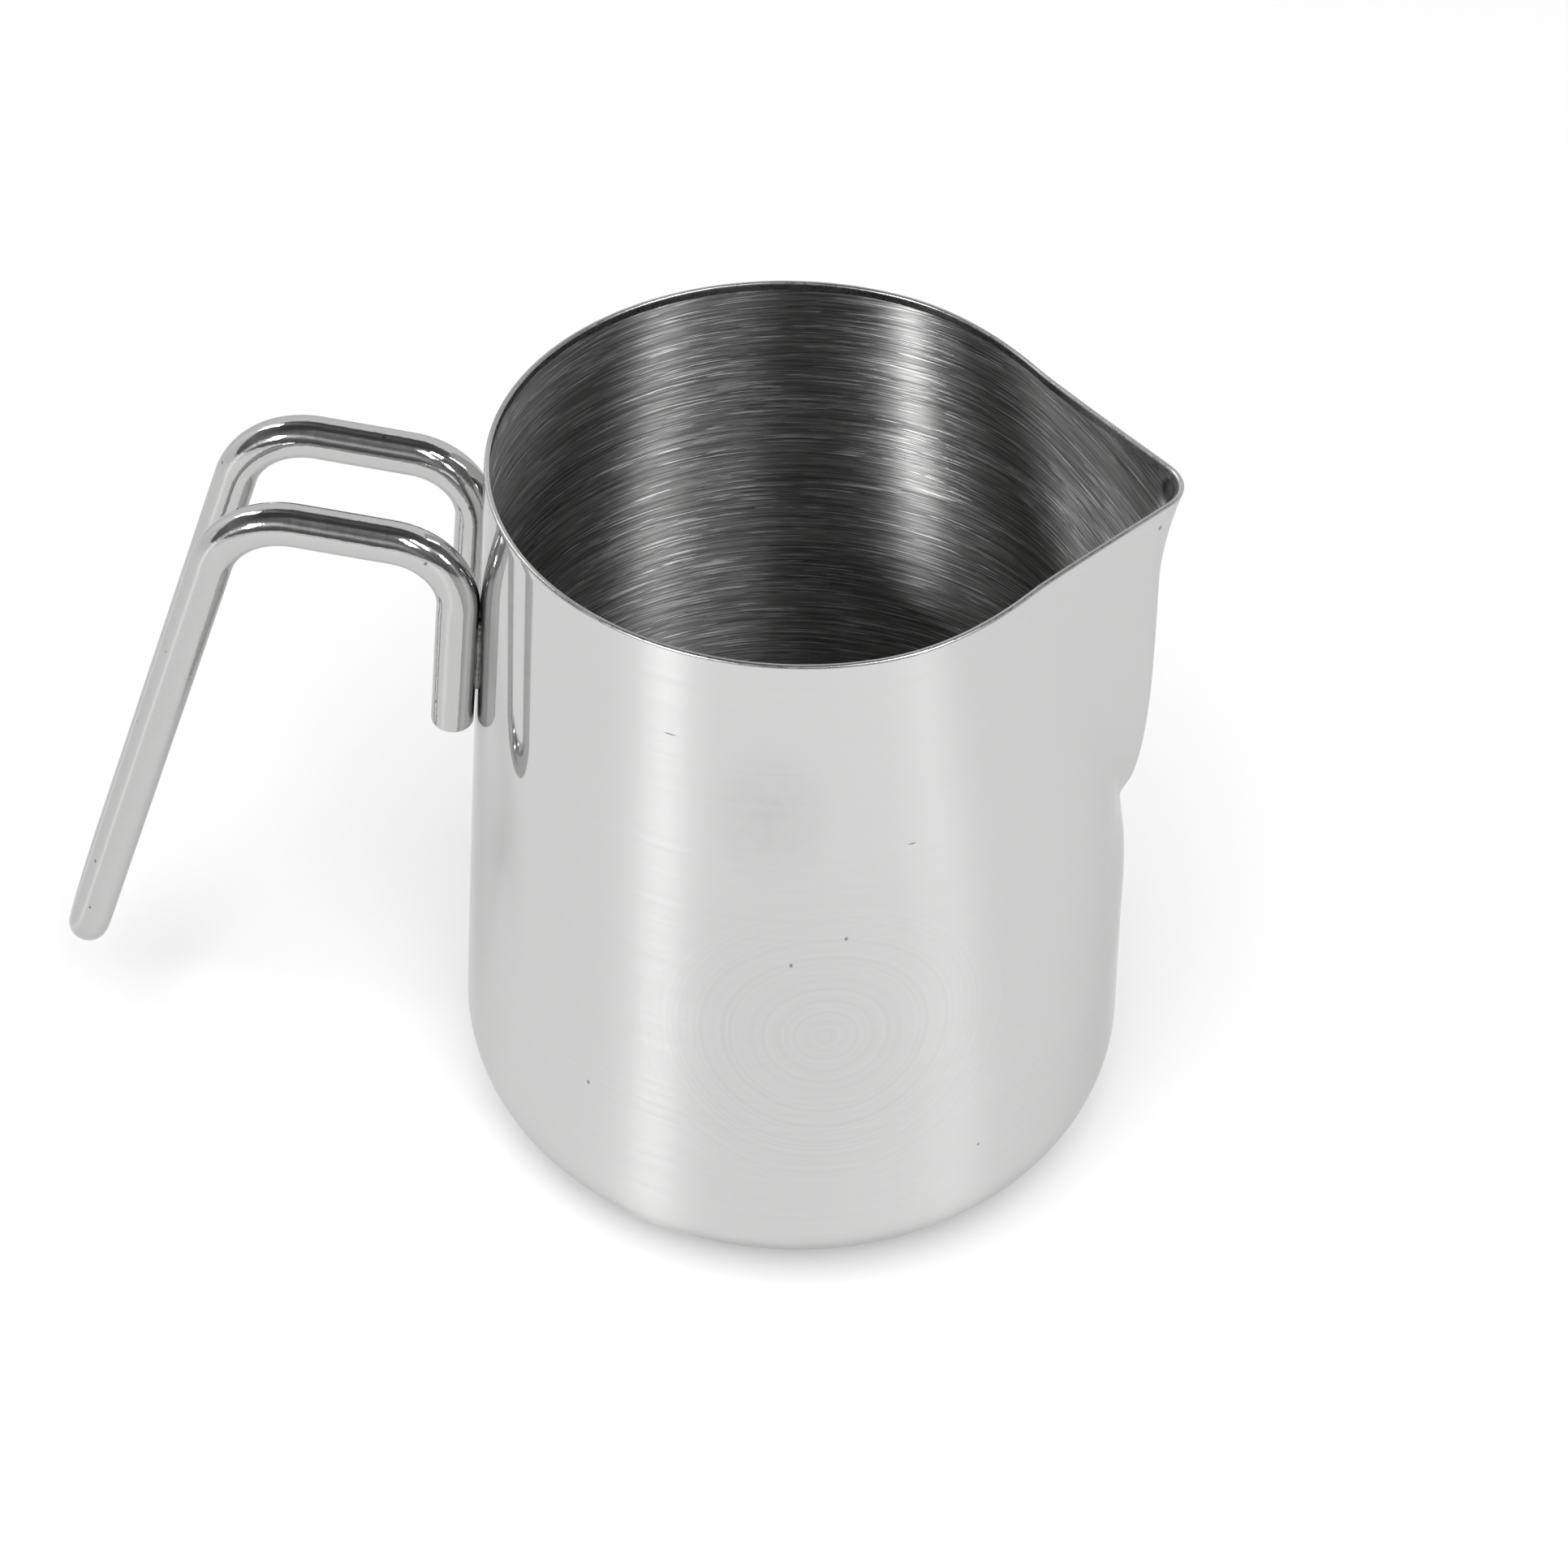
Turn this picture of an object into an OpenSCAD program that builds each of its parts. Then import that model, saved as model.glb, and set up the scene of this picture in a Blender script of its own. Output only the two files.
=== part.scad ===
// Milk frothing pitcher: a one-piece drawn steel vessel with a pressed V spout,
// and a handle bent from one round steel rod whose two ends are welded to the wall.
// Millimetres. Origin at the centre of the base, +Z up, +X towards the spout, handle towards -X.
// The pitcher is the same on both sides of the XZ plane.

/* [Vessel] */
// Height from the standing ring to the rim
body_h = 114.4; // [110:0.2:118]
// Diameter that the tapered wall would have at the very bottom, without the rounded corner
foot_d = 101.1; // [98:0.1:104]
// Diameter of the tapered wall at the rim, measured before the spout draws the sides in
mouth_d = 88.2; // [86:0.1:91]
// Outward bow of the wall at half height
wall_bow = 0.27; // [0:0.01:0.6]
// Outside radius of the corner between base and wall
corner_r = 13.6; // [10:0.1:18]
// Thickness of the sheet
sheet_t = 0.8; // [0.6:0.05:1.2]
// Depth of the recess pressed into the underside
recess_h = 1; // [0.5:0.1:2]
// Radius at which the recess begins
recess_r = 29; // [20:0.5:31]

/* [Spout] */
// Distance of the lip from the vessel's axis
lip_x = 50; // [49:0.1:51.5]
// How far the lip flares out over the last part of the spout
lip_flare = 2.8; // [1:0.1:3.5]
// Height at which the spout begins, at the pinch
pinch_z = 58; // [52:0.5:66]
// Angle from the spout's ridge to its crease, at the rim
crease_deg = 37; // [33:0.5:41]
// Radius of the lip, seen from above
lip_r = 6; // [4.5:0.1:7]
// How far the rim's round part moves towards the handle as the spout draws the sides in
draw_in = 2.5; // [1.5:0.1:3]
// Extra hollow along the crease, at the rim
crease_dip = 1.2; // [0:0.1:1.6]
// Swelling of the wall just below the pinch
pinch_swell = 0.7; // [0:0.05:1]

/* [Handle] */
// Diameter of the rod
rod_d = 6; // [5:0.1:6.6]
// Distance between the middles of the two rods
rod_gap = 19.2; // [17:0.2:22]
// Height of the rods' lower ends, on the wall
stub_z = 72; // [68:0.5:78]
// Height at which the rods touch the wall
touch_z = 90; // [86:0.5:92]
// Gap between the rods' lower ends and the wall
stub_gap = 0.3; // [0.1:0.05:0.5]
// Height at which stub and arm would meet without a bend
arm_z = 102.6; // [101:0.2:105]
// Outer end of the arm without a bend, towards the handle side
knee_x = 78.1; // [74:0.2:82]
// Height of the arm's outer end without a bend
knee_z = 107.1; // [105:0.2:109]
// Where the leg ends and the lower loop begins, towards the handle side
foot_x = 104.8; // [98:0.2:108]
// Height at which the lower loop begins
foot_z = 29.2; // [26:0.2:40]
// Bend radius between stub and arm, at the rod's middle
bend_in = 9.9; // [8:0.1:11]
// Bend radius between arm and leg, at the rod's middle
bend_out = 11.2; // [9:0.1:13]
// Rounding of the rods' cut ends
end_round = 0.6; // [0.3:0.1:1]

/* [Welds] */
// Width of each weld, across the rod
weld_w = 2.6; // [1.6:0.1:3.2]
// Height of each weld's lower end
weld_z0 = 77.5; // [75:0.5:80]
// Height of each weld's upper end
weld_z1 = 90.5; // [86:0.5:92]
// How deep the weld metal melts into the wall
weld_bite = 0.05; // [0.02:0.01:0.1]

/* [Hidden] */
$fn = 96;

steel = [0.80, 0.81, 0.82];
rod_steel = [0.72, 0.73, 0.75];
weld_steel = [0.45, 0.44, 0.43];

// ---------------------------------------------------------------- shared rules

function unit(a) = min(max(a, 0), 1);
function smooth(a) = let (t = unit(a)) t * t * (3 - 2 * t);

// Outside radius of the plain tapered wall
function wall_r(z) =
    let (s = body_h - z)
    mouth_d / 2 + (foot_d - mouth_d) / 2 * s / body_h + 4 * wall_bow * s * (body_h - s) / pow(body_h, 2);

// ---------------------------------------------------------------- vessel: plain lower part

split_z = 28;
lean = atan((wall_r(corner_r - 0.5) - wall_r(corner_r + 0.5)));
core_r = wall_r(corner_r) - corner_r / cos(lean);
tangent_r = core_r + corner_r * cos(lean);
tangent_z = corner_r + corner_r * sin(lean);
inner_tangent_r = core_r + (corner_r - sheet_t) * cos(lean);
inner_tangent_z = corner_r + (corner_r - sheet_t) * sin(lean);
recess_slope = 2.5;
band_n = 3;

// One quarter of the sheet's rounded corner, as a ring cut to the angle that it turns through
module corner_section() {
    far = 2 * corner_r;
    translate([core_r, corner_r])
        intersection() {
            difference() {
                circle(r = corner_r);
                circle(r = corner_r - sheet_t);
            }
            polygon([[0, 0], [0, -far], [far, -far], [far * cos(lean), far * sin(lean)]]);
        }
}

// The flat bottom with its pressed recess
module floor_section() {
    polygon([
        [0, recess_h],
        [recess_r, recess_h],
        [recess_r + recess_slope, 0],
        [core_r, 0],
        [core_r, sheet_t],
        [recess_r + recess_slope + 0.3, sheet_t],
        [recess_r + 0.3, sheet_t + recess_h],
        [0, sheet_t + recess_h]
    ]);
}

// The tapered wall up to the height where the spout's influence begins, and a little into the upper wall
module lower_wall_section() {
    top = split_z + seam_over;
    outer = [for (i = [1:band_n]) let (z = tangent_z + (top - tangent_z) * i / band_n) [wall_r(z), z]];
    inner = [for (p = outer) [p[0] - sheet_t, p[1]]];
    polygon(concat(
        [[tangent_r, tangent_z]],
        outer,
        [for (i = [band_n - 1:-1:0]) inner[i]],
        [[inner_tangent_r, inner_tangent_z]]
    ));
}

module lower_cup() {
    rotate_extrude()
        union() {
            floor_section();
            corner_section();
            lower_wall_section();
        }
}

// ---------------------------------------------------------------- vessel: upper wall and spout

// 0 where the spout begins, 1 at the rim
function rise(z) = unit((z - pinch_z) / (body_h - pinch_z));

// Distance of the spout's ridge from the axis
function ridge_x(z) =
    let (
        u = rise(z),
        plump = lip_x - mouth_d / 2 - lip_flare,
        flare = lip_flare * pow(unit((u - 0.7) / 0.3), 1.8)
    )
    wall_r(z) + plump * (1 - exp(-u / 0.17)) + flare;

// The rim's round part, whose centre has moved towards the handle
function drawn_r(a) =
    let (r = mouth_d / 2 - draw_in)
    -draw_in * cos(a) + sqrt(pow(r, 2) - pow(draw_in * sin(a), 2));

// The wall away from the spout, at angle a and height z
function side_r(a, z) =
    let (
        t = unit((z - split_z) / (body_h - split_z)),
        pull = pow(t, 1.3) * (mouth_d / 2 - drawn_r(a)),
        dip = crease_dip * pow(rise(z), 1.5) * (1 - smooth((abs(a) - crease_deg) / 38)),
        swell = pinch_swell * pow(max(cos(6 * min(abs(a), 15)), 0), 2)
            * smooth((z - split_z) / 18) * smooth((pinch_z + 1 - z) / 12)
    )
    wall_r(z) - pull - dip + swell;

// The spout is a rounded lip with one straight flank each side, which runs to the crease
function spout_r(a, z) =
    let (
        u = max(rise(z), 0.0001),
        crease = crease_deg * pow(u, 0.8),
        r = lip_r * pow(u, 0.5),
        x = ridge_x(z) - r,
        c = side_r(crease, z),
        cx = c * cos(crease),
        cy = c * sin(crease),
        reach = sqrt(pow(cx - x, 2) + pow(cy, 2)),
        turn = atan2(cy, cx - x) - acos(min(r / max(reach, 0.001), 1)),
        d = x * cos(turn) + r,
        edge = atan2(r * sin(turn), x + r * cos(turn)),
        t = abs(a)
    )
    t < edge ? x * cos(t) + sqrt(max(pow(r, 2) - pow(x * sin(t), 2), 0))
    : t < crease ? d / cos(t - turn)
    : c;

// Outside radius of the finished wall, with the crease softened over a few degrees
crease_soft = 0.25;
function skin_r(a, z) =
    let (
        s = side_r(a, z),
        p = spout_r(a, z),
        crease = crease_deg * pow(max(rise(z), 0.0001), 0.8),
        soft = crease_soft * smooth(rise(z) * 6)
    )
    rise(z) <= 0 ? s
    : abs(a) > 1.6 * crease ? s
    : abs(a) > crease ? s + soft * pow(max(1 - (abs(a) / crease - 1) / 0.6, 0), 2)
    : max(s, p) + soft * pow(unit(abs(a) / crease), 4);

// A point of the outside skin moved inwards by depth, square to the skin as seen from above
function skin_point(a, z, depth) =
    let (
        h = 0.4,
        r = skin_r(a, z),
        slope = (skin_r(a + h, z) - skin_r(a - h, z)) / (2 * h * PI / 180),
        len = sqrt(r * r + slope * slope),
        nx = (r * cos(a) + slope * sin(a)) / len,
        ny = (r * sin(a) - slope * cos(a)) / len
    )
    [r * cos(a) - depth * nx, r * sin(a) - depth * ny, z];

ring_n = 112;
low_n = 7;
high_n = 17;
rim_round = 0.28;

// Ring angles are closer together at the spout
function ring_angle(i) = let (t = 360 * i / ring_n) t - 28 * sin(t);
function fold(a) = a > 180 ? a - 360 : a;

// Ring heights are closer together at the pinch and at the rim
heights = concat(
    [for (j = [0:low_n - 1]) split_z + (pinch_z - split_z) * j / low_n],
    [for (j = [0:high_n]) pinch_z + (body_h - rim_round - pinch_z) * smooth(j / high_n)]
);
// The upper wall's lowest ring laps over the round lower wall by a hair on both sides
seam_lap = 0.06;
seam_over = 0.5;
rows = concat(
    [[split_z, -seam_lap]],
    [for (j = [1:len(heights) - 1]) [heights[j], 0]],
    [[body_h, rim_round], [body_h, sheet_t - rim_round]],
    [for (j = [len(heights) - 1:-1:1]) [heights[j], sheet_t]],
    [[split_z, sheet_t + seam_lap]]
);

module upper_shell() {
    points = [for (row = rows) for (i = [0:ring_n - 1]) skin_point(fold(ring_angle(i)), row[0], row[1])];
    row_n = len(rows);
    faces = [
        for (j = [0:row_n - 1])
            for (i = [0:ring_n - 1])
                let (
                    k = (i + 1) % ring_n,
                    m = (j + 1) % row_n,
                    a = j * ring_n + i,
                    b = j * ring_n + k,
                    c = m * ring_n + k,
                    d = m * ring_n + i
                )
                each [[a, c, b], [a, d, c]]
    ];
    polyhedron(points = points, faces = faces, convexity = 8);
}

module vessel() {
    color(steel)
        union() {
            lower_cup();
            upper_shell();
        }
}

// ---------------------------------------------------------------- handle

rod_r = rod_d / 2;
rod_y = rod_gap / 2;
touch_x = -sqrt(pow(wall_r(touch_z) + rod_r, 2) - pow(rod_y, 2));
free_x = -sqrt(pow(wall_r(stub_z) + rod_r + stub_gap, 2) - pow(rod_y, 2));
stub_lean = (touch_x - free_x) / (touch_z - stub_z);

// Corners of the bent rod's middle line in its own upright plane, as [x, z]
stub_end = [free_x, stub_z];
elbow = [free_x + stub_lean * (arm_z - stub_z), arm_z];
knee = [-knee_x, knee_z];
heel = [-foot_x, foot_z];

function heading(p, q) = atan2(q[1] - p[1], q[0] - p[0]);
function span(p, q) = norm(q - p);
function tidy(len) = round(len * 1000) / 1000;

stub_h = heading(stub_end, elbow);
arm_h = heading(elbow, knee);
leg_h = heading(heel, knee);
inner_turn = arm_h - stub_h;
outer_turn = leg_h + 180 - arm_h;
inner_cut = bend_in * tan(inner_turn / 2);
outer_cut = bend_out * tan(outer_turn / 2);
leg_len = tidy(span(heel, knee) - outer_cut);
arm_len = tidy(span(knee, elbow) - outer_cut - inner_cut);
stub_len = tidy(span(elbow, stub_end) - inner_cut);

// Each stretch stops a hair short of the next, and a ball a hair wider than the rod closes the joint
joint_gap = 0.1;
joint_ball = 0.01;

module joint() {
    sphere(r = rod_r + joint_ball);
}

// A straight stretch of rod along +Z; what follows starts at its far end
module straight(len) {
    translate([0, 0, joint_gap])
        cylinder(r = rod_r, h = len - 2 * joint_gap);
    translate([0, 0, len]) {
        joint();
        children();
    }
}

// A bend from +Z towards -X; what follows starts at its far end
module bend(radius, turn) {
    skip = joint_gap / radius * 180 / PI;
    translate([-radius, 0, 0]) {
        rotate([90, 0, 0])
            rotate([0, 0, skip])
                rotate_extrude(angle = turn - 2 * skip)
                    translate([radius, 0])
                        circle(r = rod_r);
        rotate([0, -turn, 0])
            translate([radius, 0, 0]) {
                joint();
                children();
            }
    }
}

// The last straight stretch, whose cut end has a rounded edge
module stub(len) {
    flat = len - end_round;
    rotate_extrude()
        union() {
            translate([0, joint_gap])
                square([rod_r, flat - joint_gap]);
            translate([0, flat])
                square([rod_r - end_round, end_round]);
            translate([rod_r - end_round, flat])
                intersection() {
                    circle(r = end_round);
                    square(end_round);
                }
        }
}

// Leg, knee, arm, elbow and stub of one side, from the lower loop to the wall
module one_side() {
    straight(leg_len)
        bend(bend_out, outer_turn)
            straight(arm_len)
                bend(bend_in, inner_turn)
                    stub(stub_len);
}

// The loop that joins the two legs at the bottom
module lower_loop() {
    skip = joint_gap / rod_y * 180 / PI;
    rotate([-90, 0, 90])
        rotate([0, 0, skip])
            rotate_extrude(angle = 180 - 2 * skip)
                translate([rod_y, 0])
                    circle(r = rod_r);
    for (side = [-1, 1])
        translate([0, side * rod_y, 0])
            joint();
}

module handle() {
    color(rod_steel)
        translate([heel[0], 0, heel[1]])
            rotate([0, 90 - leg_h, 0])
                rotate([0, 0, 180])
                union() {
                    lower_loop();
                    translate([0, rod_y, 0]) one_side();
                    translate([0, -rod_y, 0]) one_side();
                }
}

// ---------------------------------------------------------------- welds

// Weld metal in the narrow gap between rod and wall, one length for each rod
module weld() {
    side = atan2(rod_y, -touch_x);
    low = wall_r(weld_z0);
    high = wall_r(weld_z1);
    difference() {
        rotate([0, 0, -side])
            rotate([90, 0, 0])
                linear_extrude(height = weld_w, center = true)
                    polygon([
                        [weld_bite - low, weld_z0],
                        [weld_bite - high, weld_z1],
                        [-high - 1.2, weld_z1],
                        [-low - 1.2, weld_z0]
                    ]);
        translate([stub_end[0], rod_y, stub_end[1]])
            rotate([0, 90 - stub_h, 0])
                cylinder(r = rod_r, h = arm_z - stub_z);
    }
}

module weld_far() {
    color(weld_steel)
        weld();
}

module weld_near() {
    color(weld_steel)
        mirror([0, 1, 0])
            weld();
}

vessel();
handle();
weld_near();
weld_far();
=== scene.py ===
import bmesh
import bpy
import math
import numpy as np
from mathutils import Matrix, Vector


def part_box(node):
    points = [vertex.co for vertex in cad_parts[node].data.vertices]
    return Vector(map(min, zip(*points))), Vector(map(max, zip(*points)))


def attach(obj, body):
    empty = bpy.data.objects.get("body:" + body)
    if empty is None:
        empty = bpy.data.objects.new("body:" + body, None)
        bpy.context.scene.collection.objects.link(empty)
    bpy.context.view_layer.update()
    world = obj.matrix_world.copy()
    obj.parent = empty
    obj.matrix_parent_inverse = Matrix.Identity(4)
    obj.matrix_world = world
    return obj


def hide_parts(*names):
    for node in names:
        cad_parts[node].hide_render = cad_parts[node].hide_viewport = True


# Milk frothing pitcher. The frame gives the size; every length below is written in millimetres of the design and
# turned into metres by MM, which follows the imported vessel's own height.
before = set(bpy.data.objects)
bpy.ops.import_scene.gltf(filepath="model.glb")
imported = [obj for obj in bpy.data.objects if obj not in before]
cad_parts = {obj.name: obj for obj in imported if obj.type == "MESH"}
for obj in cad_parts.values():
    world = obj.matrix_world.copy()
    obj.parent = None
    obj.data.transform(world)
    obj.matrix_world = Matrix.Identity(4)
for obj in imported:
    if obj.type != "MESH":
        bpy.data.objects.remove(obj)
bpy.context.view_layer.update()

BODY_H = 114.4
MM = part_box("vessel")[1][2] / BODY_H

# ---------------------------------------------------------------- design sizes, millimetres and degrees

FOOT_D, MOUTH_D, WALL_BOW = 101.1, 88.2, 0.27
CORNER_R, SHEET_T = 13.6, 0.8
RECESS_H, RECESS_R, RECESS_SLOPE = 1.0, 29.0, 2.5
LIP_X, LIP_FLARE, LIP_R = 50.0, 2.8, 6.0
PINCH_Z, CREASE_DEG, CREASE_DIP = 58.0, 37.0, 1.2
DRAW_IN, PINCH_SWELL, SPLIT_Z = 2.5, 0.7, 28.0
ROD_D, ROD_GAP, END_ROUND = 6.0, 19.2, 0.6
STUB_Z, TOUCH_Z, STUB_GAP = 72.0, 90.0, 0.3
ARM_Z, KNEE, HEEL = 102.6, (-78.1, 107.1), (-104.8, 29.2)
BEND_IN, BEND_OUT = 9.9, 11.2
WELD_Z0, WELD_Z1 = 77.5, 90.5
RIM_ROUND = 0.34

# mesh density: points round each piece, and steps along its curves
BODY_POINTS, ROD_POINTS, WELD_POINTS = 384, 72, 20
CORNER_STEPS, RECESS_STEPS, RIM_STEPS = 22, 12, 6
BEND_STEPS, LOOP_STEPS, END_STEPS = 28, 40, 7
WELD_BEADS, BEAD_STEPS = 11, 8

# material slots of the vessel
OUTSIDE, INSIDE, RIM = 0, 1, 2


def unit(a):
    """The value, held between 0 and 1."""
    return np.clip(a, 0.0, 1.0)


def smooth(a):
    """0 to 1 with a level start and end."""
    t = unit(a)
    return t * t * (3.0 - 2.0 * t)


# ---------------------------------------------------------------- vessel shape


def wall_r(z):
    """Outside radius of the plain round wall, which is very slightly bowed."""
    s = BODY_H - z
    return MOUTH_D / 2 + (FOOT_D - MOUTH_D) / 2 * s / BODY_H + 4 * WALL_BOW * s * (BODY_H - s) / BODY_H**2


def rise(z):
    """0 where the lip starts and 1 at the rim."""
    return unit((z - PINCH_Z) / (BODY_H - PINCH_Z))


def ridge_x(z):
    """How far out the lip's nose is."""
    u = rise(z)
    plump = LIP_X - MOUTH_D / 2 - LIP_FLARE
    return wall_r(z) + plump * (1 - np.exp(-u / 0.17)) + LIP_FLARE * unit((u - 0.7) / 0.3) ** 1.8


def side_r(a, z):
    """Radius of the body's sides: drawn in as the lip was pressed, dipped beside it and swollen below it."""
    r = MOUTH_D / 2 - DRAW_IN
    drawn = -DRAW_IN * np.cos(a) + np.sqrt(r**2 - (DRAW_IN * np.sin(a)) ** 2)
    t = unit((z - SPLIT_Z) / (BODY_H - SPLIT_Z))
    pull = t**1.3 * (MOUTH_D / 2 - drawn)
    off = np.degrees(np.abs(a))
    dip = CREASE_DIP * rise(z) ** 1.5 * (1 - smooth((off - CREASE_DEG) / 38.0))
    swell = PINCH_SWELL * np.maximum(np.cos(np.radians(6 * np.minimum(off, 15.0))), 0) ** 2
    swell = swell * smooth((z - SPLIT_Z) / 18.0) * smooth((PINCH_Z + 1 - z) / 12.0)
    return wall_r(z) - pull - dip + swell


def skin_r(a, z):
    """Radius of the whole outside: a small nose, two flat flanks that touch it, and the round body behind."""
    u = np.maximum(rise(z), 1e-4)
    crease = np.radians(CREASE_DEG * u**0.8)
    r = LIP_R * np.sqrt(u)
    x = ridge_x(z) - r
    c = side_r(crease, z)
    cx, cy = c * np.cos(crease), c * np.sin(crease)
    reach = np.hypot(cx - x, cy)
    turn = np.arctan2(cy, cx - x) - np.arccos(np.minimum(r / np.maximum(reach, 1e-3), 1.0))
    d = x * np.cos(turn) + r
    edge = np.arctan2(r * np.sin(turn), x + r * np.cos(turn))
    t = np.abs(a)
    nose = x * np.cos(t) + np.sqrt(np.maximum(r**2 - (x * np.sin(t)) ** 2, 0.0))
    flank = d / np.cos(t - turn)
    spout = np.where(t < edge, nose, np.where(t < crease, flank, c))
    side = side_r(a, z)
    soft = 0.25 * smooth(rise(z) * 6.0)
    inside = np.maximum(side, spout) + soft * unit(t / crease) ** 4
    beyond = side + soft * np.maximum(1 - (t / crease - 1) / 0.6, 0.0) ** 2
    skin = np.where(t > crease, beyond, inside)
    return np.where((rise(z) <= 0) | (t > 1.6 * crease), side, skin)


def blur(grid, sigma, axis, wrap):
    """Gaussian blur along one axis, round the body where wrap is set."""
    n = int(math.ceil(3 * sigma))
    k = np.exp(-0.5 * (np.arange(-n, n + 1) / sigma) ** 2)
    k /= k.sum()
    pad = [(0, 0), (0, 0)]
    pad[axis] = (n, n)
    wide = np.pad(grid, pad, mode="wrap") if wrap else np.pad(grid, pad, mode="reflect", reflect_type="odd")
    out = np.zeros_like(grid)
    for i, w in enumerate(k):
        s = [slice(None), slice(None)]
        s[axis] = slice(i, i + grid.shape[axis])
        out += w * wide[tuple(s)]
    return out


# The skin is worked out once on a fine even grid, with the pressed creases rounded as sheet metal rounds them
A_N, Z_STEP = 1440, 0.4
grid_a = np.arange(A_N) * (2 * math.pi / A_N) - math.pi
grid_z = np.arange(SPLIT_Z - 12.0, BODY_H + Z_STEP / 2, Z_STEP)
CREASE_ROUND = (3.2, 2.2)
raw = skin_r(grid_a[None, :], grid_z[:, None])
skin_grid = blur(blur(raw, CREASE_ROUND[0], 1, True), CREASE_ROUND[1], 0, False)

# Low, broad ripples that spinning and polishing leave in thin sheet
rng = np.random.default_rng(7)
RIPPLE = 0.009
ripple = np.zeros_like(skin_grid)
for wave in range(2, 9):
    for _ in range(2):
        start, pitch = rng.uniform(0, 6.28), rng.uniform(35, 110)
        turn = wave * grid_a[None, :] + start + 2 * math.pi * grid_z[:, None] / pitch
        ripple += RIPPLE / wave**0.6 * np.sin(turn)
skin_grid = skin_grid + ripple * unit((grid_z[:, None] - SPLIT_Z) / 20.0)


def sample(a, z):
    """Radius of the skin at angles a and height z, between the points of the grid."""
    fa = ((a + math.pi) / (2 * math.pi) * A_N) % A_N
    fz = np.clip((z - grid_z[0]) / Z_STEP, 0, len(grid_z) - 1.000001)
    i, j = np.floor(fa).astype(int), np.floor(fz).astype(int)
    u, v = fa - i, fz - j
    i1 = (i + 1) % A_N
    i = i % A_N
    low = skin_grid[j, i] * (1 - u) + skin_grid[j, i1] * u
    high = skin_grid[j + 1, i] * (1 - u) + skin_grid[j + 1, i1] * u
    return low * (1 - v) + high * v


def wall_points(a, z, depth):
    """Points of the wall at angles a and height z, moved inwards by depth square to the skin seen from above."""
    h = math.radians(0.5)
    r = sample(a, z)
    slope = (sample(a + h, z) - sample(a - h, z)) / (2 * h)
    size = np.hypot(r, slope)
    nx = (r * np.cos(a) + slope * np.sin(a)) / size
    ny = (r * np.sin(a) - slope * np.cos(a)) / size
    return np.stack([r * np.cos(a) - depth * nx, r * np.sin(a) - depth * ny, np.full_like(r, z)], 1)


def round_points(a, r, z):
    """A plain circle of points."""
    return np.stack([r * np.cos(a), r * np.sin(a), np.full_like(a, z)], 1)


def tube_faces(rings, m):
    """Faces of a tube of rings with m points each, closed by a fan to one more point at each end."""
    faces = []
    for j in range(rings - 1):
        for i in range(m):
            k = (i + 1) % m
            faces.append((j * m + i, j * m + k, (j + 1) * m + k, (j + 1) * m + i))
    first, last, top = rings * m, rings * m + 1, (rings - 1) * m
    for i in range(m):
        k = (i + 1) % m
        faces.append((first, k, i))
        faces.append((last, top + i, top + k))
    return faces


def build_mesh(name, verts, faces, material_index=None):
    """A smooth-shaded object from points in design millimetres."""
    mesh = bpy.data.meshes.new(name)
    mesh.from_pydata((np.asarray(verts) * MM).tolist(), [], faces)
    mesh.polygons.foreach_set("use_smooth", [True] * len(mesh.polygons))
    if material_index is not None:
        mesh.polygons.foreach_set("material_index", material_index)
    mesh.validate()
    mesh.update()
    obj = bpy.data.objects.new(name, mesh)
    bpy.context.scene.collection.objects.link(obj)
    return obj


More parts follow.
